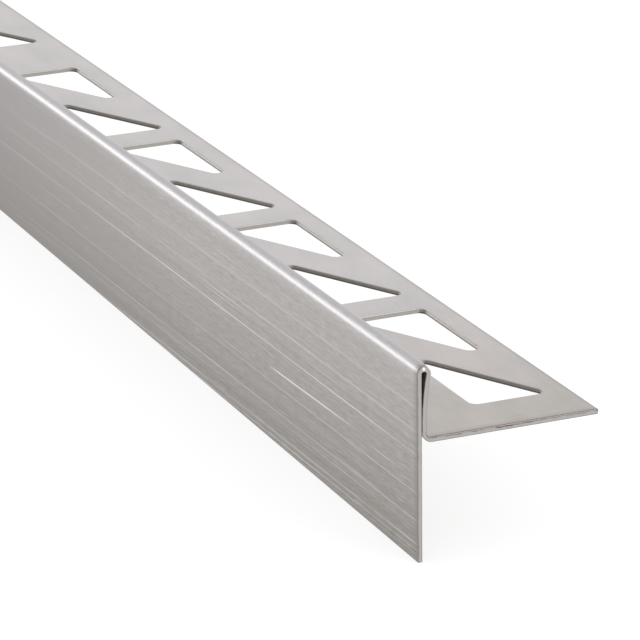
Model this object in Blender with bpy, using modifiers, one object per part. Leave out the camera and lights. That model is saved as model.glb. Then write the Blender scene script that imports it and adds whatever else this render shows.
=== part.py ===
# Tapered edge profile for the side of a level-access shower floor.
#
# One strip of stainless steel sheet, punched while flat and then folded. Seen on its end, from
# left to right: a visible leg that stands upright, a hem folded back over its top, a back leg
# that closes down onto the visible leg, and a bend out into the anchor leg, which is bedded in
# adhesive below the tiles. The lower edge of the visible leg is sheared to the fall of the
# shower floor, so the leg is tall at one end of the strip and short at the other.
#
# Frame: X along the strip with the tall end at +X, Y across it with the visible leg at -Y,
# Z up. The strip stands unheld with its sheared edge level on the floor at Z = 0.

import math

import bmesh
import bpy
from mathutils import Matrix, Vector

MM = 0.001

# Strip
SHEET = 0.8 * MM
LENGTH = 980.0 * MM
FALL = 0.02
NARROW_LEG = 12.5 * MM

# Folded section
TILE_HEIGHT = 12.5 * MM
ANCHOR_WIDTH = 31.0 * MM
ANCHOR_BEND_RADIUS = 0.7 * MM
HEM_GAP = 0.72 * MM
HEM_CLOSED_GAP = 0.1 * MM
HEM_CLOSED_DEPTH = 6.3 * MM
BEND_FACET = math.radians(15.0)
EASE_FACET = math.radians(1.5)
SHARP_EDGE = math.radians(30.0)

# Punched windows, each split by a diagonal strut into two triangular holes
WINDOW_LENGTH = 45.0 * MM
WINDOW_WIDTH = 12.7 * MM
OUTER_BAND = 4.1 * MM
STRUT_WIDTH = 7.5 * MM
STRUT_ANGLE = math.radians(27.0)
BRIDGE = 7.5 * MM
WIDE_BRIDGE = 19.5 * MM
WINDOW_GROUP = 4
END_BAND = 10.0 * MM
CORNER_RADIUS = 1.4 * MM
CORNER_FACET = math.radians(22.5)
PUNCH_OVERRUN = 2.0 * MM

# Worked out from the sizes above
TALL_LEG = NARROW_LEG + LENGTH * FALL
TILT = -math.atan(FALL)


def clearScene():
    for thing in list(bpy.data.objects):
        bpy.data.objects.remove(thing, do_unlink=True)


def newCollection(name):
    collection = bpy.data.collections.new(name)
    bpy.context.scene.collection.children.link(collection)
    return collection


def newMaterial(name, colour, metallic, roughness):
    material = bpy.data.materials.new(name)
    material.use_nodes = True
    shader = material.node_tree.nodes["Principled BSDF"]
    shader.inputs["Base Color"].default_value = colour
    shader.inputs["Metallic"].default_value = metallic
    shader.inputs["Roughness"].default_value = roughness
    return material


class FoldLine:
    """Walks along the visible face of a folded sheet, leg by leg and bend by bend."""

    def __init__(self, start, heading):
        self.place = Vector(start)
        self.heading = Vector(heading)
        self.points = [Vector(start)]

    def leg(self, length):
        self.place += self.heading * length

    def bend(self, radius, angle, facet):
        """An arc as flats that touch it, so that both faces of the sheet keep their radius."""
        side = Vector((-self.heading.y, self.heading.x)) * math.copysign(1.0, angle)
        centre = self.place + side * radius
        arm = self.place - centre
        count = max(1, math.ceil(abs(angle) / facet))
        stretch = 1.0 / math.cos(angle / count / 2)
        for step in range(count):
            turn = Matrix.Rotation(angle * (step + 0.5) / count, 2)
            self.points.append(centre + turn @ arm * stretch)
        wholeTurn = Matrix.Rotation(angle, 2)
        self.place = centre + wholeTurn @ arm
        self.heading = wholeTurn @ self.heading

    def end(self):
        self.points.append(self.place.copy())
        return self.points


def sectionLine():
    """Visible face of the section, from the sheared edge over the hem to the anchor leg's edge."""
    hemRadius = HEM_GAP / 2 + SHEET
    closing = HEM_CLOSED_DEPTH - hemRadius
    lean = 2 * math.atan((HEM_GAP - HEM_CLOSED_GAP) / closing)

    line = FoldLine((0.0, -TALL_LEG), (0.0, 1.0))
    line.leg(TALL_LEG - hemRadius)
    line.bend(hemRadius, -math.pi - lean, BEND_FACET)
    line.bend(closing / math.sin(lean) - hemRadius, lean, EASE_FACET)
    line.leg(line.place.y + TILE_HEIGHT - SHEET - ANCHOR_BEND_RADIUS)
    line.bend(ANCHOR_BEND_RADIUS, math.pi / 2, BEND_FACET)
    line.leg(ANCHOR_WIDTH - line.place.x)
    return line.end()


def foldedStrip(material, collection):
    """The section drawn out along the strip, with the lower edge on its slope, then thickened."""
    bm = bmesh.new()
    line = sectionLine()
    tallEnd = [bm.verts.new((0.0, point.x, point.y)) for point in line]
    narrowEnd = [bm.verts.new((-LENGTH, point.x, point.y)) for point in line]
    narrowEnd[0].co.z = -NARROW_LEG
    for lower, upper in zip(range(len(line) - 1), range(1, len(line))):
        bm.faces.new((tallEnd[lower], tallEnd[upper], narrowEnd[upper], narrowEnd[lower]))
    mesh = bpy.data.meshes.new("wedge_profile")
    bm.to_mesh(mesh)
    bm.free()
    mesh.shade_smooth()
    mesh.set_sharp_from_angle(angle=SHARP_EDGE)
    mesh.materials.append(material)

    strip = bpy.data.objects.new("wedge_profile", mesh)
    collection.objects.link(strip)
    thickness = strip.modifiers.new("sheet thickness", "SOLIDIFY")
    thickness.thickness = SHEET
    thickness.offset = -1.0
    thickness.use_even_offset = True
    return strip


def roundedOutline(corners, radius):
    """Points of a convex outline with an arc at each of its corners."""
    points = []
    for index, corner in enumerate(corners):
        before = (corners[index - 1] - corner).normalized()
        after = (corners[(index + 1) % len(corners)] - corner).normalized()
        half = before.angle(after) / 2
        centre = corner + (before + after).normalized() * (radius / math.sin(half))
        first = corner + before * (radius / math.tan(half)) - centre
        sweep = math.pi - 2 * half
        count = math.ceil(sweep / CORNER_FACET)
        for step in range(count + 1):
            points.append(centre + Matrix.Rotation(sweep * step / count, 2) @ first)
    return points


def triangleOutline():
    """One hole of a window: its square corner at (0, 0), legs along the strip and across it."""
    middle = Vector((WINDOW_LENGTH, WINDOW_WIDTH)) / 2
    reach = middle.x * math.tan(STRUT_ANGLE) + middle.y
    rise = reach - STRUT_WIDTH / 2 / math.cos(STRUT_ANGLE)
    run = rise / math.tan(STRUT_ANGLE)
    return roundedOutline([
        Vector((0.0, 0.0)),
        Vector((run, 0.0)),
        Vector((0.0, rise)),
    ], CORNER_RADIUS)


def windowStarts():
    """Distances of the windows from the tall end: in groups, with a wide bridge between them."""
    starts = []
    start = END_BAND
    while start + WINDOW_LENGTH <= LENGTH - END_BAND:
        starts.append(start)
        start += WINDOW_LENGTH + (BRIDGE if len(starts) % WINDOW_GROUP else WIDE_BRIDGE)
    return starts


def windowPunch(collection):
    """A punch for both holes of every window along the strip."""
    bm = bmesh.new()
    outline = triangleOutline()
    farCorner = Vector((WINDOW_LENGTH, WINDOW_WIDTH))
    for start in windowStarts():
        for points in (outline, [farCorner - point for point in outline]):
            base = bm.faces.new([bm.verts.new((start + point.x, point.y, 0.0))
                                 for point in points])
            drawn = bmesh.ops.extrude_face_region(bm, geom=[base])
            top = [thing for thing in drawn["geom"] if isinstance(thing, bmesh.types.BMVert)]
            bmesh.ops.translate(bm, verts=top, vec=(0.0, 0.0, SHEET + 2 * PUNCH_OVERRUN))
    bmesh.ops.scale(bm, vec=(-1.0, 1.0, 1.0), verts=bm.verts)
    bmesh.ops.recalc_face_normals(bm, faces=bm.faces)
    mesh = bpy.data.meshes.new("window punch")
    bm.to_mesh(mesh)
    bm.free()

    punch = bpy.data.objects.new("window punch", mesh)
    collection.objects.link(punch)
    innerEdge = ANCHOR_WIDTH - OUTER_BAND - WINDOW_WIDTH
    punch.location = (0.0, innerEdge, -TILE_HEIGHT - PUNCH_OVERRUN)
    punch.display_type = "WIRE"
    punch.hide_render = True
    return punch


def standOnShearedEdge(objects):
    """Tips the strip by its fall, so that the sheared edge lies level, and centres it."""
    tip = Matrix.Rotation(TILT, 4, "Y")
    tallFoot = tip @ Vector((0.0, 0.0, -TALL_LEG))
    narrowTop = tip @ Vector((-LENGTH, 0.0, 0.0))
    middle = (tallFoot.x + narrowTop.x) / 2
    stand = bpy.data.objects.new("stand", None)
    bpy.context.scene.collection.objects.link(stand)
    stand.location = (-middle, -ANCHOR_WIDTH / 2, -tallFoot.z)
    stand.rotation_euler = (0.0, TILT, 0.0)
    for thing in objects:
        thing.parent = stand


def main():
    clearScene()
    parts = newCollection("shower slope wedge")
    cutters = newCollection("punches")
    steel = newMaterial("stainless steel", (0.60, 0.59, 0.57, 1.0), 1.0, 0.35)

    strip = foldedStrip(steel, parts)
    punch = windowPunch(cutters)
    windows = strip.modifiers.new("punched windows", "BOOLEAN")
    windows.operation = "DIFFERENCE"
    windows.solver = "EXACT"
    windows.object = punch
    standOnShearedEdge([strip, punch])


main()
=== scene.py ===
# Tapered stainless steel edge profile for the side of a level-access shower floor, standing on
# its sheared edge on a white studio floor. The strip is one sheet, so it is modelled as one:
# a flat blank with its punched windows, worked out in two coordinates and then folded.

import math

import bpy
import numpy as np
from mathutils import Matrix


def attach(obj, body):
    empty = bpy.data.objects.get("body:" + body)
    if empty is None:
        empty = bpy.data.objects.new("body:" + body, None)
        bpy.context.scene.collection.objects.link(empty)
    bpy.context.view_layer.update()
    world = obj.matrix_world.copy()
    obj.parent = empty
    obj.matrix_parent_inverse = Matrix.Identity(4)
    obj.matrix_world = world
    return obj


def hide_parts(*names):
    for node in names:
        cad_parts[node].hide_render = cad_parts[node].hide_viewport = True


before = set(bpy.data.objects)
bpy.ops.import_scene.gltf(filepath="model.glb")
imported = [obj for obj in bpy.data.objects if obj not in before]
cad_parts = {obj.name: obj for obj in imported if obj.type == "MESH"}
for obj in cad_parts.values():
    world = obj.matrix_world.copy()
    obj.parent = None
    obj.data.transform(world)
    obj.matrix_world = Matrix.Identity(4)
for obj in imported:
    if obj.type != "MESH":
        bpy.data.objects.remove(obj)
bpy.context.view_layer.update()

mm = 0.001

# The strip, in millimetres and degrees
strip = {
    "sheet": 0.8,
    "length": 980.0,
    "fall": 0.02,             # of the shower floor, and so of the sheared edge
    "narrowLeg": 12.5,        # visible leg at the low end
    "tileHeight": 12.5,
    "anchorWidth": 31.0,
    "anchorBend": 0.95,       # inside radius
    "hemGap": 0.84,
    "hemClosedGap": 0.08,
    "hemClosedDepth": 9.8,
    "hemDraw": 0.38,          # how far the bend draws the outer face back at the strip's ends
    "hemSag": 0.22,           # and how far its crest sinks there, over this length
    "sagLength": 3.2,
    "hemPinch": 0.1,          # how much the sheet thickens inwards on both sides of its crest
    "windowLength": 45.0,
    "windowWidth": 12.7,
    "outerBand": 4.1,
    "strutWidth": 7.5,
    "strutAngle": 27.0,
    "bridge": 7.5,
    "wideBridge": 19.5,       # between the groups that one stroke of the press punches
    "windowGroup": 4,
    "endBand": 10.0,
    "windows": 17,
    "corner": 1.4,
    "rollOver": 0.2,          # soft edge on the side that the punch and the shear enter
    "burrEdge": 0.08,         # on the side where they break out, a burr this wide
    "burr": 0.07,             # and this high
}

steps = {                     # mesh divisions
    "leg": 8, "hem": 24, "ease": 10, "upright": 2, "bend": 10, "innerBand": 4,
    "shortSide": 6, "hypotenuse": 11, "longSide": 9, "squareArc": 8, "sharpArc": 8,
    "tipArc": 10, "tipField": 4, "ring": 2, "plain": 8, "edge": 4,
    "wallRow": 0.4,           # share of the sheet where a cut's wall has a row of its own
}

# The strip's materials, in the order in which the mesh holds them
finishKinds = {"ground": 0, "mill": 1, "punched": 2, "sheared": 3}

pitch = strip["windowLength"] + strip["bridge"]
hemRadius = strip["hemGap"] / 2 + strip["sheet"]
tilt = -math.atan(strip["fall"])


# Straight and curved stretches of the section beyond the visible leg: (length, turn, divisions)
def foldStretches():
    p = strip
    closing = p["hemClosedDepth"] - hemRadius
    lean = 2 * math.atan((p["hemGap"] - p["hemClosedGap"]) / closing)
    easeRadius = closing / math.sin(lean) - hemRadius
    upright = p["tileHeight"] - p["sheet"] - p["anchorBend"] - p["hemClosedDepth"]
    anchor = p["anchorWidth"] - 2 * p["sheet"] - p["hemClosedGap"] - p["anchorBend"]
    return [
        (hemRadius * (math.pi + lean), -math.pi - lean, steps["hem"]),
        (easeRadius * lean, lean, steps["ease"]),
        (upright, 0.0, steps["upright"]),
        (p["anchorBend"] * math.pi / 2, math.pi / 2, steps["bend"]),
        (anchor, 0.0, 1),
    ]


stretches = foldStretches()
anchorStart = sum(length for length, turn, count in stretches[:-1])
bendStart = anchorStart - stretches[-2][0]
outerEdge = anchorStart + stretches[-1][0]
innerSide = outerEdge - strip["outerBand"] - strip["windowWidth"]


# The fold. A point of the blank has a place along the strip, a distance across the sheet from
# the foot of the hem, and a depth below the visible face. Its heading is the sum of the turns
# passed, and its place the sum of the stretches passed: length times heading for a straight
# one, the chord for a curved one. The depth is laid off square to the heading.
def foldBlank(across, depth):
    heading = np.full(across.shape, math.pi / 2)
    place = np.stack([np.zeros(across.shape), np.minimum(across, 0.0) - hemRadius], -1)
    start = 0.0
    for length, turn, count in stretches:
        passed = np.clip(across - start, 0.0, length)
        start += length
        if turn == 0.0:
            place += np.stack([np.cos(heading), np.sin(heading)], -1) * passed[:, None]
            continue
        curve = turn / length
        turned = heading + curve * passed
        place += np.stack([np.sin(turned) - np.sin(heading),
                           np.cos(heading) - np.cos(turned)], -1) / curve
        heading = turned
    none = np.zeros(across.shape)
    away = np.stack([none, -np.sin(heading), np.cos(heading)], -1)
    onwards = np.stack([none, np.cos(heading), np.sin(heading)], -1)
    return place - away[:, 1:] * depth[:, None], away, onwards


# The sheared edge: from the tall end on, the leg loses the fall's share of the way along
def shearedEdge(along):
    return hemRadius - strip["narrowLeg"] - (strip["length"] + along) * strip["fall"]


# A triangular hole with round corners: each corner is an arc that touches both sides, each
# side the straight line between two arcs. It starts at the middle of the square corner. Also
# the directions from the hole into the steel, and the steps from each arc's middle to the next.
def triangularHole():
    slope = math.radians(strip["strutAngle"])
    rise = (strip["windowLength"] / 2 * math.tan(slope) + strip["windowWidth"] / 2
            - strip["strutWidth"] / 2 / math.cos(slope))
    corners = np.array([[0.0, 0.0], [0.0, rise], [rise / math.tan(slope), 0.0]])
    arcSteps = [steps["squareArc"], steps["sharpArc"], steps["tipArc"]]
    sideSteps = [steps["shortSide"], steps["hypotenuse"], steps["longSide"]]
    arcs, aims = [], []
    for index in range(3):
        back = corners[index - 1] - corners[index]
        ahead = corners[(index + 1) % 3] - corners[index]
        back, ahead = back / np.linalg.norm(back), ahead / np.linalg.norm(ahead)
        half = math.acos(back @ ahead) / 2
        inwards = (back + ahead) / np.linalg.norm(back + ahead)
        centre = corners[index] + inwards * strip["corner"] / math.sin(half)
        square = (ahead - back) / np.linalg.norm(ahead - back)
        swing = np.linspace(half - math.pi / 2, math.pi / 2 - half, arcSteps[index] + 1)
        swing = swing[:, None]
        aims.append(square * np.sin(swing) - inwards * np.cos(swing))
        arcs.append(centre + aims[-1] * strip["corner"])
    loop, into = [], []
    for index in range(3):
        between = np.linspace(0.0, 1.0, sideSteps[index] + 1)[1:-1, None]
        start, stop = arcs[index][-1], arcs[(index + 1) % 3][0]
        loop += [arcs[index], start + (stop - start) * between]
        into += [aims[index], np.repeat(aims[index][-1:], len(between), 0)]
    halfArc = arcSteps[0] // 2
    loop, into = (np.roll(np.concatenate(part), -halfArc, 0) for part in (loop, into))
    counts = [arcSteps[index] // 2 + sideSteps[index] + arcSteps[(index + 1) % 3] // 2
              for index in range(3)]
    return loop, into, counts


# The field around a hole: up beside the bridge, a short way along the outer edge, down the
# middle of the strut, and back along the inner side. Straight lines cut into equal steps.
def holeField(counts):
    slope = math.tan(math.radians(strip["strutAngle"]))
    low, high = -strip["outerBand"], strip["windowWidth"] + strip["outerBand"]
    left, halfRun = -strip["bridge"] / 2, (high - low) / 2 / slope
    middle = strip["windowLength"] / 2
    corners = np.array([[left, low], [left, high], [middle - halfRun, high],
                        [middle + halfRun, low]])
    tip = steps["tipField"]
    sides = [counts[0] - tip // 2, tip, counts[1] - tip // 2, counts[2]]
    outline = [start + (stop - start) * np.linspace(0.0, 1.0, count, endpoint=False)[:, None]
               for start, stop, count in zip(corners, np.roll(corners, -1, 0), sides)]
    return np.concatenate(outline), np.cumsum(sides)


# A patch of plain sheet: columns along the strip, crossed with rows that may slope
def gridPatch(columns, rows):
    along = np.broadcast_to(columns, (len(rows), len(columns)))
    points = np.stack([along, np.broadcast_to(rows, along.shape)], -1)
    return points, np.zeros_like(points)


# The blank as patches of points (along, across), each with the ways out of the steel at its
# holes. Two fields make a window, the second the first turned half round. Between the groups
# of windows and at both ends the sheet is plain. The columns that the fields and the plain
# stretches set run on through the rest of the sheet.
def blankPatches():
    hole, into, counts = triangularHole()
    field, ends = holeField(counts)
    share = np.linspace(0.0, 1.0, steps["ring"] + 1)[:, None, None]
    ring = field + (hole - field) * share
    ring = np.concatenate([ring, ring[:, :1]], 1)
    ringOut = np.zeros_like(ring)
    ringOut[-1] = np.concatenate([into, into[:1]]) * [1.0, -1.0]
    window = np.array([strip["windowLength"], strip["windowWidth"]])
    number = np.arange(strip["windows"])
    starts = (strip["endBand"] + pitch * number
              + (strip["wideBridge"] - strip["bridge"]) * (number // strip["windowGroup"]))
    patches = [(points * [-1.0, 1.0] + [-start, innerSide], out)
               for points, out in ((ring, ringOut), (window - ring, -ringOut))
               for start in starts]

    bottom = np.append(field[ends[2]:, 0], field[0, 0])
    tip = strip["windowLength"] - field[ends[0] + 1:ends[1], 0]
    cell = np.sort(np.concatenate([bottom, tip]))
    plains, columns = [], []
    reached = 0.0
    for start in np.append(starts, strip["length"] - cell[0]):
        if start + cell[0] - reached > strip["sheet"]:
            plains.append(-np.linspace(reached, start + cell[0], steps["plain"] + 1))
            columns.append(plains[-1][:-1])
        if start < strip["length"]:
            columns.append(-start - cell)
        reached = start + cell[0] + pitch
    columns = np.concatenate(columns + [plains[-1][-1:]])
    legRows = np.linspace(1.0, 0.0, steps["leg"] + 1)[:, None] * shearedEdge(columns)
    patches.append(gridPatch(columns, legRows))
    start = 0.0
    for length, turn, count in stretches[:-1]:
        rows = np.linspace(start, start + length, count + 1)[:, None]
        patches.append(gridPatch(columns, rows))
        start += length
    fieldStart = innerSide + field[0, 1]
    patches.append(gridPatch(columns, np.linspace(
        start, fieldStart, steps["innerBand"] + 1)[:, None]))
    sideRows = innerSide + field[:ends[0] + 1, 1][:, None]
    return patches + [gridPatch(plain, sideRows) for plain in plains]


# Joins the patches: equal points become one, every face turns the same way round, and the
# points of the outer edges learn their ways out. Returns which points those are.
def joinedBlank():
    points, outwards, faces, total = [], [], [], 0
    for grid, out in blankPatches():
        index = np.arange(grid[..., 0].size).reshape(grid.shape[:2]) + total
        faces.append(np.stack([index[:-1, :-1], index[:-1, 1:], index[1:, 1:], index[1:, :-1]],
                              -1).reshape(-1, 4))
        points.append(grid.reshape(-1, 2))
        outwards.append(out.reshape(-1, 2))
        total += index.size
    points, outwards, faces = map(np.concatenate, (points, outwards, faces))
    weld = 0.0007             # millimetres
    kept, first, same = np.unique(np.round(points / weld).astype(np.int64), axis=0,
                                  return_index=True, return_inverse=True)
    points, outwards, faces = points[first], outwards[first], same.ravel()[faces]
    diagonals = points[faces[:, 2:]] - points[faces[:, :2]]
    area = np.cross(diagonals[:, 0], diagonals[:, 1])
    faces = np.where(area[:, None] < 0, faces[:, ::-1], faces)
    along, across = points.T
    edges = np.stack([np.isclose(along, 0.0) * 1.0 - np.isclose(along, -strip["length"]),
                      np.isclose(across, outerEdge) * 1.0
                      - np.isclose(across, shearedEdge(along))], -1)
    return points, outwards + edges, faces, edges.any(1)


# Profile of a cut edge through the sheet, as (inset, depth, lean of the normal, how much of
# the burr): a soft quarter round where the tool enters, a straight wall, then the burr
def edgeProfile():
    sheet, soft, crisp = strip["sheet"], strip["rollOver"], strip["burrEdge"]
    enter = np.linspace(0.0, math.pi / 2, steps["edge"] + 1)
    none = np.zeros(len(enter))
    return np.concatenate([
        np.stack([soft * (1 - np.sin(enter)), soft * (1 - np.cos(enter)), enter, none], -1),
        [[0.0, sheet * steps["wallRow"], math.pi / 2, 0.0],
         [0.0, sheet - crisp / 4, math.pi / 2, 1.0],
         [crisp / 4, sheet, math.pi * 0.75, 1.0],
         [crisp, sheet, math.pi, 0.0]],
    ])


# The shell: the blank on both faces of the sheet, and the edge profile around every rim
def foldedShell():
    points, outwards, faces, outer = joinedBlank()
    edges = np.stack([faces, np.roll(faces, -1, 1)], -1).reshape(-1, 2)
    kept, first, uses = np.unique(np.sort(edges, 1), axis=0, return_index=True,
                                  return_counts=True)
    rim = edges[first[uses == 1]]
    rimPoints = np.unique(rim)
    rank = np.zeros(len(points), np.int64)
    rank[rimPoints] = np.arange(len(rimPoints))
    # at a corner of the blank each side keeps its own way out
    rimOut = outwards[rim]
    rimOut = np.where(outer[rim].all(1)[:, None, None],
                      rimOut * np.abs(rimOut[:, ::-1]), rimOut)

    # the hem's bend draws its outer face back at the ends, and sinks, most of all at the crest
    passed = np.clip(points[:, 1] / stretches[0][0], 0.0, 1.0)
    crest = np.sin(math.pi * passed)
    toEnd = strip["length"] / 2 - np.abs(points[:, 0] + strip["length"] / 2)
    drawn = strip["hemDraw"] * crest ** 2
    nearness = np.clip(1 - toEnd / strip["sagLength"], 0.0, 1.0)
    sunk = strip["hemSag"] * crest * nearness ** 2
    dip = (2 * strip["hemSag"] / strip["sagLength"] * crest * nearness
           * np.sign(points[:, 0] + strip["length"] / 2))
    pinch = strip["hemPinch"] * np.sin(2 * math.pi * passed) ** 2
    # the burr of the anchor leg, pressed flat where the low end lies on the floor
    burr = np.minimum(strip["burr"], strip["fall"] * (strip["length"] + points[:, 0]))
    burr = np.where(points[:, 1] > bendStart, burr, 0.0)
    profile = edgeProfile()
    last = len(profile) - 1
    layers, starts = [], [0]
    for number, (inset, depth, lean, lip) in enumerate(profile):
        chosen = np.arange(len(points)) if number in (0, last) else rimPoints
        share = depth / strip["sheet"]
        pull = drawn[chosen]
        back = inset + pull * (1 - share)
        flat = points[chosen] - outwards[chosen] * back[:, None]
        extra = sunk[chosen] * (1 - share / 2) + pinch[chosen] * share + burr[chosen] * lip
        section, away, onwards = foldBlank(flat[:, 1], depth + extra)
        away[:, 0] = dip[chosen]
        layers.append((np.column_stack([flat[:, 0], section]), away, onwards, flat,
                       np.full(len(flat), share),
                       lean - np.arctan(pull / strip["sheet"]) * math.sin(lean)))
        starts.append(starts[-1] + len(flat))
    verts, away, onwards, blank, depths, leans = (np.concatenate(part) for part in zip(*layers))

    # the belt grinds the outer face up to the anchor's bend
    outerKind = np.where(points[faces].mean(1)[:, 1] < bendStart,
                         finishKinds["ground"], finishKinds["mill"])
    shell = [faces, faces[:, ::-1] + starts[last]]
    out = [np.zeros((len(faces), 4, 2))] * 2
    kinds = [outerKind, np.full(len(faces), finishKinds["mill"])]
    for number in range(last):
        lower = (rim if number == 0 else rank[rim]) + starts[number]
        upper = (rim if number == last - 1 else rank[rim]) + starts[number + 1]
        shell.append(np.column_stack([lower[:, ::-1], upper]))
        out.append(np.concatenate([rimOut[:, ::-1], rimOut], 1))
        kinds.append(np.where(outer[rim].all(1), finishKinds["sheared"],
                              finishKinds["punched"]))
    shell, out, kinds = map(np.concatenate, (shell, out, kinds))
    sheer = onwards[shell] * out[..., 1:]
    sheer[..., 0] = out[..., 0]
    lean = leans[shell][..., None]
    normals = away[shell] * np.cos(lean) + sheer * np.sin(lean)
    normals /= np.linalg.norm(normals, axis=-1, keepdims=True)
    return verts, shell, normals, blank, depths, kinds


# Stands the strip on its sheared edge: turned about Y by the fall
def stood(vectors):
    turn = np.array([[math.cos(tilt), 0.0, math.sin(tilt)], [0.0, 1.0, 0.0],
                     [-math.sin(tilt), 0.0, math.cos(tilt)]])
    return vectors @ turn.T


# The shell as a mesh that keeps its own normals, with the places on the blank as UV map and
# the depth in the cut, from 0 where the tool enters to 1, as an attribute
def buildStrip(materials):
    verts, faces, normals, blank, depths, kinds = foldedShell()
    foot = stood(np.array([0.0, 0.0, shearedEdge(0.0) - hemRadius]))
    farTop = stood(np.array([-strip["length"], 0.0, 0.0]))
    verts = stood(verts) - [(foot[0] + farTop[0]) / 2, strip["anchorWidth"] / 2, foot[2]]
    mesh = bpy.data.meshes.new("folded_strip")
    mesh.from_pydata(verts * mm, [], faces)
    mesh.shade_smooth()
    mesh.polygons.foreach_set("material_index", kinds)
    flat = mesh.uv_layers.new(name="blank")
    flat.data.foreach_set("uv", (blank[faces] * mm).ravel())
    cut = mesh.attributes.new("cutDepth", "FLOAT", "POINT")
    cut.data.foreach_set("value", depths)
    for material in materials:
        mesh.materials.append(material)
    mesh.normals_split_custom_set(stood(normals).reshape(-1, 3))
    mesh.update()
    piece = bpy.data.objects.new("folded_strip", mesh)
    bpy.context.scene.collection.objects.link(piece)
    print("strip:", len(verts), "points,", len(faces), "faces of four sides")
    return piece


# Colours are sRGB hex, sizes millimetres. Levels say between which values of a noise its mark
# sets in, places how far across the sheet from the foot of the hem, depths are shares of the
# sheet's thickness, and shares say how strongly a colour covers the one below.
finish = {
    "noiseLevels": (0.3, 0.7),         # nearly all of a noise lies between these
    "bumpStrength": 0.3,

    # ground face, its colours as light and shade of the grain
    # from the hem down to the sheared edge the colours darken: painted shade
    "crown": ("#C1BFC0", "#B2B0B0"),   # the hem
    "face": ("#AFABA8", "#979290"),    # top of the visible leg
    "foot": ("#948F8A", "#77736D"),    # its sheared edge, darkest, as painted shade
    "crownPlace": 0.8,
    "facePlace": -0.5,
    "footPlace": -31.0,
    "groundRoughness": (0.36, 0.48),   # by the grain
    "groundBump": 0.01,
    "anisotropy": 0.6,
    "anisotropyTurn": 0.25,   # the grain draws the light out across itself
    "grainWidth": 0.15,       # real grain is 0.05, drawn coarser so that it shows
    "grainLength": 2.6,
    "grainWeight": 3.0,       # against one share of the streaks
    "streakWidth": 1.6,
    "streakLength": 500.0,
    "toneLevels": (1.5, 2.5),
    "dashWidth": 0.19,
    "dashLength": 9.0,
    "dashLevels": (0.6, 0.75),
    "dashStrength": 0.2,
    "line": "#DEDCDE",
    "lines": ((5.5, 0.35), (9.4, 0.55), (13.2, 0.85), (19.5, 0.5), (24.0, 0.55), (25.4, 0.35),
              (27.9, 0.75), (28.9, 0.65)),    # below the hem's foot, and how strong
    "lineWidth": 0.32,
    "lineLength": 30.0,       # over which a line waxes and wanes
    "lineLevels": (0.35, 0.65),
    "lineFaintest": 0.15,
    "fineSpacing": 0.8,
    "fineWidth": 0.17,
    "fineStrength": 0.22,
    "scratch": (16.25, 22.0, 57.0, 0.0137),   # below the foot, start, stop, slant
    "scratchEnds": (12.0, 4.0),        # over which it sets in and dies away
    "scratchWidth": 0.4,
    "scratchLength": 60.0,
    "scratchLevels": (0.7, 0.8),
    "middleShade": "#787373",        # painted shade, darker towards the middle of the strip
    "middleShadeShare": 0.5,
    "middleShadeFrom": 90.0,         # from the strip's ends
    "middleShadeTo": 195.0,
    "middleShadeMarks": 0.1,         # what stays of the grain and the lines under that shade
    "endShade": 1.6,          # width of the painted shade margin at the strip's ends
    "faceEndShade": "#7E7A79",     # the colour of that painted shade on the ground face
    "faceEndShadeShare": 0.7,

    # mill finish
    "mill": ("#D1CBCB", "#C4C2C1"),
    "millEndsShade": ("#C3BBB7", "#B3AFA9"), # darker towards the ends, as painted shade
    "endsShadeReach": 70.0,
    "back": ("#A39F9B", "#98948F"),    # back of the visible leg, under the anchor leg: painted shade
    "backPlaces": (2.0, 0.5),
    "hemInsideLight": ("#C9C3BA", "#BFB8AE"),      # inside the hem, lighter than the back: painted light in the gap
    "shelteredReach": (9.0, 8.0),      # to both sides of the hem's middle
    "shelteredRoughness": 0.55,
    "millRoughness": (0.34, 0.42),
    "cloudSize": (28.0, 14.0),         # along the strip and across it
    "cloudLevels": (0.58, 0.82),
    "speckSize": (3.0, 0.6),
    "speckWeight": 0.4,
    # painted shade in margins at the strip's ends and along its outer edge
    "millEdgeShade": "#A09A94",
    "millEdgeShadeShare": 0.6,
    "edgeShade": 0.9,         # width of the painted shade margin along the outer edge

    # cut edges: each stretch's colour, where it begins in the sheet's thickness, over how much
    "punchedStretches": (("#C2BEBA", 0.0, 0.0), ("#8C867F", 0.6, 0.14),
                         ("#C2BEBA", 0.86, 0.06)),
    "punchedRoughness": (0.3, 0.42),
    "punchedWander": 0.1,
    # painted shade on walls facing along the strip, painted light on walls facing across it
    "shortSide": "#A8A4A0",
    "shortSideFacing": (0.9, 0.98),    # how squarely it has to face along the strip
    "longSide": "#F2EFEC",
    "longSideFacing": (0.93, 0.99),    # and across it
    "longSideDepths": (0.8, 0.55),
    "shearedStretches": (("#AFACA9", 0.0, 0.0), ("#827C77", 0.84, 0.12)),
    "shearedRoughness": (0.24, 0.36),
    "shearedWander": 0.2,
    "tornSize": (0.75, 0.25, 0.25),    # fine roughness, along the strip, across it and up
    "tornBump": 0.02,
    "bay": 1.6,               # length of the bays in which a cut wanders

    # the dark line where the sheared steel broke, and the painted shade beside it
    "dent": "#6B605C",
    "dentLength": 2.6,
    "dentLevels": (0.5, 0.6),
    "breakDepth": (0.04, -0.27),       # on the visible leg and on the anchor leg
    "breakWander": (0.4, 1.1),
    "breakWidth": (0.17, 0.05),        # from its outside to its full darkness
    "breakShare": 0.55,       # outside the dents
    "entryDepths": (0.1, -0.06),       # from the line to the entry side's painted shade
    "frontShare": 0.57,       # how dark that painted shade is on the visible leg
    "hemShare": 0.09,
    "anchorShare": 0.3,
    "hemPlaces": (1.2, 2.8),  # where the visible leg's entry side gives way to the hem's
    "bendPlaces": (-0.5, 1.5),         # where the line starts again, from the anchor's bend
    "fadePlaces": (9.0, 4.0),          # and where it fades, from the outer edge
    "fadeShare": 0.5,
    "softDepths": (0.34, 0.24),        # of the painted shade on the soft edge
    "softShare": 0.58,
    "outerPlaces": (0.4, 0.2),         # of the painted shade on the outer edge, from that edge
    "outerDepths": (0.6, 0.3),
}


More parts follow.
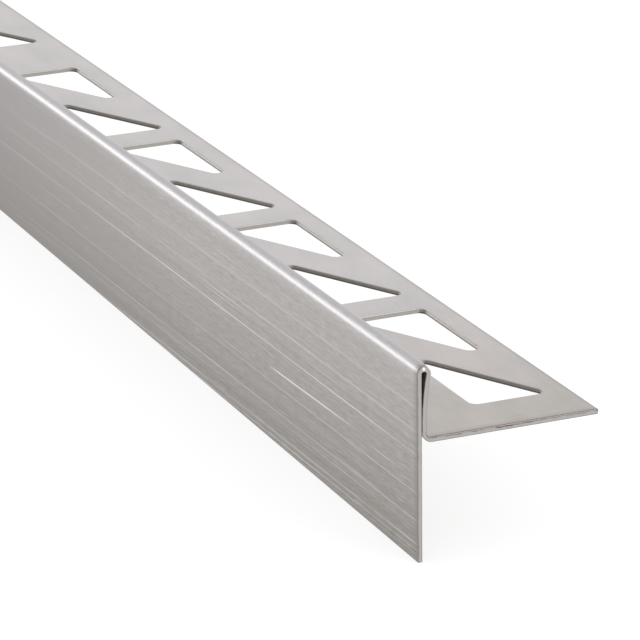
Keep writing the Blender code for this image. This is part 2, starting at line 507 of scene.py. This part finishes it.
def hexToLinear(code):
    parts = [int(code[i:i + 2], 16) / 255 for i in (1, 3, 5)]
    linear = [c / 12.92 if c <= 0.04045 else ((c + 0.055) / 1.055) ** 2.4 for c in parts]
    return (*linear, 1.0)


# Feeds a node's inputs, given in their order or by name or number, each with the first output
# of another node, a socket, a hex colour or another value
def feed(tree, node, inputs):
    named = inputs.items() if isinstance(inputs, dict) else enumerate(inputs)
    for name, value in named:
        if isinstance(value, bpy.types.Node):
            value = next(output for output in value.outputs if output.enabled)
        if isinstance(value, bpy.types.NodeSocket):
            tree.links.new(value, node.inputs[name])
        else:
            node.inputs[name].default_value = (
                hexToLinear(value) if isinstance(value, str) else value)
    return node


# Adds a node with its options. The colours of a Mix node are its inputs 6 and 7.
def addNode(tree, kind, inputs=(), **options):
    node = tree.nodes.new("ShaderNode" + kind)
    for name, value in options.items():
        setattr(node, name, value)
    return feed(tree, node, inputs)


def newSteel(name):
    material = bpy.data.materials.new(name)
    material.use_nodes = True
    tree = material.node_tree
    return material, tree, feed(tree, tree.nodes["Principled BSDF"], {"Metallic": 1.0})


def inMetres(*sizes):
    return [size * mm for size in sizes]


# The places on the blank, along and across the strip
def blankPlaces(tree):
    blank = addNode(tree, "UVMap", uv_map="blank")
    along, across = addNode(tree, "SeparateXYZ", [blank]).outputs[:2]
    return blank, along, across


# Random spots of the given size, in millimetres for each direction of the vector
def spots(tree, vector, size, detail=2.0):
    scaled = addNode(tree, "Mapping", {
        "Vector": vector, "Scale": [1.0 / (width * mm) for width in size]})
    return addNode(tree, "TexNoise", {
        "Vector": scaled, "Scale": 1.0, "Detail": detail, "Roughness": 0.6})


# Passes from one pair of colours to the next, light with light and shade with shade
def blendPair(tree, share, first, last):
    return [addNode(tree, "Mix", {0: share, 6: a, 7: b}, data_type="RGBA")
            for a, b in zip(first, last)]


# How far a point is from the nearer end of the strip: 0 up to near, 1 from far on
def fromEnd(tree, along, near, far):
    half = strip["length"] / 2 * mm
    off = addNode(tree, "Math", (along, half), operation="ADD")
    off = addNode(tree, "Math", [off], operation="ABSOLUTE")
    return addNode(tree, "MapRange", (off, half - near * mm, half - far * mm))


# Painted shade in a margin at both ends of the strip, as strong as the share
def endMargin(tree, along, share):
    inside = fromEnd(tree, along, 0.0, finish["endShade"])
    return addNode(tree, "Math", (inside, -share, share), operation="MULTIPLY_ADD")


# Long pale lines at set places across the sheet, each with a strength of its own, that wax
# and wane along it, with finer ones at random places between them
def longLines(tree, blank, across):
    marks = 0.0
    for place, strength in finish["lines"]:
        gap = addNode(tree, "Math", (across, place * mm), operation="ADD")
        gap = addNode(tree, "Math", [gap], operation="ABSOLUTE")
        line = addNode(tree, "MapRange", (
            gap, finish["lineWidth"] / 2 * mm, 0.0, 0.0, strength))
        marks = addNode(tree, "Math", (marks, line), operation="MAXIMUM")
    spacing = finish["fineSpacing"]
    row = addNode(tree, "Math", (across, spacing * mm), operation="DIVIDE")
    cells = addNode(tree, "TexVoronoi", {"W": row, "Scale": 1.0},
                    voronoi_dimensions="1D", feature="F1")
    core = addNode(tree, "MapRange", (cells, finish["fineWidth"] / spacing / 2, 0.0))
    strength = addNode(tree, "SeparateColor", [cells.outputs["Color"]])
    fine = addNode(tree, "Math", (core, strength), operation="MULTIPLY")
    fine = addNode(tree, "Math", (fine, finish["fineStrength"]), operation="MULTIPLY")
    marks = addNode(tree, "Math", (marks, fine), operation="MAXIMUM")
    wane = spots(tree, blank, (finish["lineLength"], spacing, 1.0), 4.0)
    wane = addNode(tree, "MapRange", (
        wane, *finish["lineLevels"], finish["lineFaintest"], 1.0))
    return addNode(tree, "Math", (marks, wane), operation="MULTIPLY")


# One brighter scratch, a little aslant, where something dragged along the face
def scratchMark(tree, along, across):
    place, start, stop, slant = finish["scratch"]
    onset, finale = finish["scratchEnds"]
    gap = addNode(tree, "Math", (along, -slant, across), operation="MULTIPLY_ADD")
    gap = addNode(tree, "Math", (gap, place * mm), operation="ADD")
    gap = addNode(tree, "Math", [gap], operation="ABSOLUTE")
    core = addNode(tree, "MapRange", (gap, finish["scratchWidth"] / 2 * mm, 0.0))
    begun = addNode(tree, "MapRange", (along, *inMetres(-start, -start - onset)))
    going = addNode(tree, "MapRange", (along, *inMetres(-stop, -stop + finale)))
    length = addNode(tree, "Math", (begun, going), operation="MULTIPLY")
    return addNode(tree, "Math", (core, length), operation="MULTIPLY")


# Stainless steel, ground with a long belt along the strip: light along the grain and matt
# across it, with a short fine grain, long pale lines and a few brighter scratches
# with painted shade down the visible leg, towards the middle of the strip and at its ends
def beltGroundSteel():
    material, tree, shader = newSteel("belt ground stainless steel")
    blank, along, across = blankPlaces(tree)
    grain = spots(tree, blank, (finish["grainLength"], finish["grainWidth"], 1.0), 3.0)
    streak = spots(tree, blank, (finish["streakLength"], finish["streakWidth"], 1.0))
    dash = spots(tree, blank, (finish["dashLength"], finish["dashWidth"], 1.0), 1.0)
    scratch = spots(tree, blank, (finish["scratchLength"], finish["scratchWidth"], 1.0), 1.0)
    inwards = fromEnd(tree, along, finish["middleShadeFrom"], finish["middleShadeTo"])
    keep = addNode(tree, "MapRange", (inwards, 0.0, 1.0, 1.0, finish["middleShadeMarks"]))
    crownToFace = inMetres(finish["crownPlace"], finish["facePlace"])
    faceToFoot = inMetres(finish["facePlace"], finish["footPlace"])

    tone = addNode(tree, "Math", (grain, finish["grainWeight"], streak),
                   operation="MULTIPLY_ADD")
    tone = addNode(tree, "MapRange", (tone, *finish["toneLevels"], -0.5, 0.5))
    tone = addNode(tree, "Math", (tone, keep, 0.5), operation="MULTIPLY_ADD")
    # painted shade: lighter on the hem, darker down the visible leg to its sheared edge
    pair = blendPair(tree, addNode(tree, "MapRange", (across, *crownToFace)),
                     finish["crown"], finish["face"])
    pair = blendPair(tree, addNode(tree, "MapRange", (across, *faceToFoot)),
                     pair, finish["foot"])
    ground = addNode(tree, "Mix", {0: tone, 6: pair[1], 7: pair[0]}, data_type="RGBA")
    # painted shade on the visible leg, darker towards the middle of the strip
    middleShade = addNode(tree, "MapRange", (across, *crownToFace, 0.0, finish["middleShadeShare"]))
    middleShade = addNode(tree, "Math", (inwards, middleShade), operation="MULTIPLY")
    ground = addNode(tree, "Mix", {0: middleShade, 6: ground, 7: finish["middleShade"]}, data_type="RGBA")

    scratch = addNode(tree, "MapRange", (scratch, *finish["scratchLevels"]))
    dash = addNode(tree, "MapRange", (
        dash, *finish["dashLevels"], 0.0, finish["dashStrength"]))
    marks = longLines(tree, blank, across)
    for mark in (scratch, scratchMark(tree, along, across), dash):
        marks = addNode(tree, "Math", (marks, mark), operation="MAXIMUM")
    marks = addNode(tree, "Math", (marks, keep), operation="MULTIPLY")
    colour = addNode(tree, "Mix", {0: marks, 6: ground, 7: finish["line"]}, data_type="RGBA")
    # painted shade at the ends of the visible leg
    margin = endMargin(tree, along, finish["faceEndShadeShare"])
    feed(tree, shader, {
        "Base Color": addNode(tree, "Mix", {0: margin, 6: colour, 7: finish["faceEndShade"]},
                              data_type="RGBA"),
        "Roughness": addNode(tree, "MapRange", (
            grain, *finish["noiseLevels"], *finish["groundRoughness"])),
        "Normal": addNode(tree, "Bump", {
            "Strength": finish["bumpStrength"], "Distance": finish["groundBump"] * mm,
            "Height": grain}),
        "Anisotropic": finish["anisotropy"],
        "Anisotropic Rotation": finish["anisotropyTurn"],
        "Tangent": addNode(tree, "Tangent", direction_type="UV_MAP", uv_map="blank")})
    return material


# Cold-rolled stainless steel as it leaves the mill: pale and evenly matt, with faint clouds;
# painted shade at the ends, on the outer edge and the visible leg's back, painted light in the
# hem
def millSteel():
    material, tree, shader = newSteel("mill finish stainless steel")
    blank, along, across = blankPlaces(tree)
    cloud = spots(tree, blank, (*finish["cloudSize"], 1.0), 3.0)
    speck = spots(tree, blank, (*finish["speckSize"], 1.0))
    tone = addNode(tree, "Math", (speck, finish["speckWeight"], cloud),
                   operation="MULTIPLY_ADD")
    tone = addNode(tree, "MapRange", (tone, *finish["cloudLevels"]))
    # painted shade on the back of the visible leg, under the anchor leg
    back = addNode(tree, "MapRange", (across, *inMetres(*finish["backPlaces"])))
    hemMiddle = hemRadius * 1.5
    inside = addNode(tree, "Math", (across, hemMiddle * mm), operation="SUBTRACT")
    inside = addNode(tree, "Math", [inside], operation="ABSOLUTE")
    inside = addNode(tree, "MapRange", (inside, *inMetres(*finish["shelteredReach"])))
    # painted shade, darker towards the strip's ends
    pair = blendPair(tree, fromEnd(tree, along, 0.0, finish["endsShadeReach"]),
                     finish["millEndsShade"], finish["mill"])
    pair = blendPair(tree, back, pair, finish["back"])
    # painted light inside the hem
    pair = blendPair(tree, inside, pair, finish["hemInsideLight"])
    colour = addNode(tree, "Mix", {0: tone, 6: pair[1], 7: pair[0]}, data_type="RGBA")

    # painted shade along the outer edge and at the ends
    margin = addNode(tree, "MapRange", (
        across, *inMetres(outerEdge - finish["edgeShade"], outerEdge)))
    margin = addNode(tree, "Math", (margin, endMargin(tree, along, 1.0)),
                     operation="MAXIMUM")
    margin = addNode(tree, "Math", (margin, finish["millEdgeShadeShare"]), operation="MULTIPLY")
    matt = addNode(tree, "Math", (inside, finish["shelteredRoughness"]),
                   operation="MULTIPLY")
    roughness = addNode(tree, "MapRange", (
        speck, *finish["noiseLevels"], *finish["millRoughness"]))
    feed(tree, shader, {
        "Base Color": addNode(tree, "Mix", {0: margin, 6: colour, 7: finish["millEdgeShade"]},
                              data_type="RGBA"),
        "Roughness": addNode(tree, "Math", (roughness, matt), operation="MAXIMUM")})
    return material


# The same steel where a tool went through it: stretches of the cut follow one another from
# the entry side on, with borders that wander up and down
def cutSteel(name, stretches, roughness, wander):
    material, tree, shader = newSteel(name)
    depth = addNode(tree, "Attribute", attribute_name="cutDepth").outputs["Fac"]
    place = addNode(tree, "TexCoord").outputs["Object"]
    torn = spots(tree, place, finish["tornSize"], 3.0)
    wobble = spots(tree, place, (finish["bay"],) * 3, 3.0)
    level = addNode(tree, "Math", (depth, wander / 2), operation="SUBTRACT")
    level = addNode(tree, "Math", (wobble, wander, level), operation="MULTIPLY_ADD")
    colour = stretches[0][0]
    for shade, begin, over in stretches[1:]:
        share = addNode(tree, "MapRange", (level, begin, begin + over))
        colour = addNode(tree, "Mix", {0: share, 6: colour, 7: shade}, data_type="RGBA")
    feed(tree, shader, {
        "Roughness": addNode(tree, "MapRange", (torn, *finish["noiseLevels"], *roughness)),
        "Normal": addNode(tree, "Bump", {
            "Strength": finish["bumpStrength"], "Distance": finish["tornBump"] * mm,
            "Height": torn})})
    return material, tree, shader, depth, colour


# Punched: burnished by the punch for most of the way, then torn dark, with a bright exit edge.
# Painted light brightens the sides that run along the strip, and painted shade darkens those
# across it.
def punchedSteel():
    material, tree, shader, depth, colour = cutSteel(
        "punched stainless steel", finish["punchedStretches"], finish["punchedRoughness"],
        finish["punchedWander"])
    normal = addNode(tree, "TexCoord").outputs["Normal"]
    facing = addNode(tree, "SeparateXYZ", [normal]).outputs
    short = addNode(tree, "Math", [facing["X"]], operation="ABSOLUTE")
    short = addNode(tree, "MapRange", (short, *finish["shortSideFacing"]))
    long = addNode(tree, "Math", [facing["Y"]], operation="ABSOLUTE")
    long = addNode(tree, "MapRange", (long, *finish["longSideFacing"]))
    deep = addNode(tree, "MapRange", (depth, *finish["longSideDepths"]))
    long = addNode(tree, "Math", (long, deep), operation="MULTIPLY")
    # painted shade and painted light, by which way the wall faces
    for share, shade in ((short, finish["shortSide"]), (long, finish["longSide"])):
        colour = addNode(tree, "Mix", {0: share, 6: colour, 7: shade}, data_type="RGBA")
    feed(tree, shader, {"Base Color": colour})
    return material


# Sheared: the blade's entry side carries painted shade, with a ragged dark line and deeper
# dents where the steel broke, then comes a paler cut. Over the hem the painted shade is faint,
# the line starts again only at the anchor leg, and it fades towards that leg's outer edge,
# which has painted shade.
def shearedSteel():
    material, tree, shader, depth, cut = cutSteel(
        "sheared stainless steel", finish["shearedStretches"], finish["shearedRoughness"],
        finish["shearedWander"])
    across = blankPlaces(tree)[2]
    place = addNode(tree, "TexCoord").outputs["Object"]
    wobble = spots(tree, place, (finish["bay"],) * 3, 4.0)
    dents = spots(tree, place, (finish["dentLength"],) * 3, 3.0)
    dents = addNode(tree, "MapRange", (dents, *finish["dentLevels"]))
    anchor = addNode(tree, "MapRange", (
        across, *inMetres(*[bendStart + off for off in finish["bendPlaces"]])))

    # the line itself, darker in the dents
    wander = addNode(tree, "MapRange", (anchor, 0.0, 1.0, *finish["breakWander"]))
    level = addNode(tree, "MapRange", (anchor, 0.0, 1.0, *finish["breakDepth"]))
    level = addNode(tree, "Math", (wobble, wander, level), operation="MULTIPLY_ADD")
    level = addNode(tree, "Math", (depth, level), operation="SUBTRACT")
    line = addNode(tree, "Math", [level], operation="ABSOLUTE")
    line = addNode(tree, "MapRange", (line, *finish["breakWidth"]))
    outside = finish["breakShare"]
    dents = addNode(tree, "Math", (dents, 1 - outside, outside), operation="MULTIPLY_ADD")
    line = addNode(tree, "Math", (line, dents), operation="MULTIPLY")

    # with painted shade on the entry side beside it, both fading, and painted shade on the soft
    # edge: anchor leg alone
    entry = addNode(tree, "MapRange", (
        level, *finish["entryDepths"], 0.0, finish["anchorShare"]))
    line = addNode(tree, "Math", (line, entry), operation="MAXIMUM")
    fade = addNode(tree, "MapRange", (
        across, *inMetres(*[outerEdge - off for off in finish["fadePlaces"]]),
        1.0, finish["fadeShare"]))
    line = addNode(tree, "Math", (line, fade), operation="MULTIPLY")
    soft = addNode(tree, "MapRange", (
        depth, *finish["softDepths"], 0.0, finish["softShare"]))
    line = addNode(tree, "Math", (line, soft), operation="MAXIMUM")
    line = addNode(tree, "Math", (line, anchor), operation="MULTIPLY")

    # painted shade on the outer edge
    outer = addNode(tree, "MapRange", (depth, *finish["outerDepths"]))
    reach = addNode(tree, "MapRange", (
        across, *inMetres(*[outerEdge - off for off in finish["outerPlaces"]])))
    outer = addNode(tree, "Math", (outer, reach), operation="MULTIPLY")
    line = addNode(tree, "Math", (line, outer), operation="MAXIMUM")

    # painted shade on the entry side of the visible leg and the hem
    front = addNode(tree, "MapRange", (
        across, *inMetres(*finish["hemPlaces"]), finish["frontShare"], finish["hemShare"]))
    entry = addNode(tree, "MapRange", (level, *finish["entryDepths"]))
    entry = addNode(tree, "Math", (entry, front), operation="MULTIPLY")
    line = addNode(tree, "Math", (line, entry), operation="MAXIMUM")
    colour = addNode(tree, "Mix", {0: line, 6: cut, 7: finish["dent"]}, data_type="RGBA")
    feed(tree, shader, {"Base Color": colour})
    return material


steels = [beltGroundSteel(), millSteel(), punchedSteel(), shearedSteel()]
print("finishes:", ", ".join(steel.name for steel in steels))
piece = buildStrip(steels)
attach(piece, "root")
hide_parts("wedge_profile")

# The studio, in metres and degrees, with colours as sRGB hex and radiance as a colour value
studio = {
    "floorSize": 12.0,
    "floor": "#A0A0A0",
    "floorLift": 0.74,        # how far the white sweep glows of itself
    "skyFront": 0.82,         # radiance on the visible side, and behind the strip
    "skyBack": 0.97,
    "skyLow": 1.12,           # how much brighter it is near the floor, up to these heights
    "skyLowHeights": (0.15, 0.5),
    "tint": (0.975, 0.975, 1.0),
    "band": 2.55,             # soft box low on the visible side, that the hem catches
    "bandSize": (4.0, 1.3),
    "bandPlace": (-3.0, -2.3, 0.56),
    "key": 4.0,               # soft box to the right of the camera, for the cut ends
    "keySize": (0.6, 0.6),
    "keyPlace": (2.1, 0.85, 0.8),
    "cameraPlace": (1.1009949, -0.3046882, 0.2903843),
    "cameraTurn": (69.66227, 0.11847, 65.88746),
    "lens": 268.2535,
    "clip": (0.01, 100.0),
}


# A sweep of matt white paint, which shows no gloss and glows a little as if overexposed
def buildFloor():
    half = studio["floorSize"] / 2
    mesh = bpy.data.meshes.new("floor")
    mesh.from_pydata([(-half, -half, 0), (half, -half, 0), (half, half, 0), (-half, half, 0)],
                     [], [(0, 1, 2, 3)])
    material = bpy.data.materials.new("matt white paint")
    material.use_nodes = True
    tree = material.node_tree
    rays = addNode(tree, "LightPath").outputs
    seen = addNode(tree, "Math", (rays["Is Camera Ray"], rays["Is Glossy Ray"]),
                   operation="MAXIMUM")
    seen = addNode(tree, "Math", (seen, rays["Is Transmission Ray"]), operation="MAXIMUM")
    glow = addNode(tree, "Math", (seen, studio["floorLift"]), operation="MULTIPLY")
    feed(tree, tree.nodes["Principled BSDF"], {
        "Base Color": studio["floor"], "Roughness": 1.0, "Specular IOR Level": 0.0,
        "Emission Color": (1.0, 1.0, 1.0, 1.0), "Emission Strength": glow})
    mesh.materials.append(material)
    floor = bpy.data.objects.new("floor", mesh)
    bpy.context.scene.collection.objects.link(floor)
    return floor


# An area lamp facing the strip, with the power that gives its face the wanted radiance
def softBox(name, place, size, radiance):
    lamp = bpy.data.lights.new(name, "AREA")
    lamp.shape = "RECTANGLE"
    lamp.size, lamp.size_y = size
    lamp.energy = radiance * math.pi * size[0] * size[1]
    lamp.color = studio["tint"]
    box = bpy.data.objects.new(name, lamp)
    bpy.context.scene.collection.objects.link(box)
    box.location = place
    length = math.sqrt(sum(c * c for c in place))
    away = [c / length for c in place]
    box.rotation_euler = (math.acos(away[2]), 0.0, math.atan2(away[1], away[0]) + math.pi / 2)
    return box


def buildStudio():
    buildFloor()
    world = bpy.data.worlds.new("white sky")
    bpy.context.scene.world = world
    world.use_nodes = True
    tree = world.node_tree
    aim = addNode(tree, "TexCoord").outputs["Generated"]
    sideways, upwards = addNode(tree, "SeparateXYZ", [aim]).outputs[1:]
    level = addNode(tree, "MapRange", (
        sideways, -1.0, 1.0, studio["skyFront"], studio["skyBack"]))
    lift = addNode(tree, "MapRange", (
        upwards, *studio["skyLowHeights"], studio["skyLow"], 1.0))
    feed(tree, tree.nodes["Background"], {
        "Color": (1.0, 1.0, 1.0, 1.0),
        "Strength": addNode(tree, "Math", (level, lift), operation="MULTIPLY")})
    softBox("low soft box", studio["bandPlace"], studio["bandSize"], studio["band"])
    softBox("key soft box", studio["keyPlace"], studio["keySize"], studio["key"])

    lens = bpy.data.cameras.new("camera")
    lens.lens = studio["lens"]
    lens.clip_start, lens.clip_end = studio["clip"]
    camera = bpy.data.objects.new("camera", lens)
    bpy.context.scene.collection.objects.link(camera)
    camera.location = studio["cameraPlace"]
    camera.rotation_euler = [math.radians(angle) for angle in studio["cameraTurn"]]
    bpy.context.scene.camera = camera
    bpy.context.scene.view_settings.view_transform = "Standard"
    print("studio: floor, sky, two soft boxes and camera")


buildStudio()
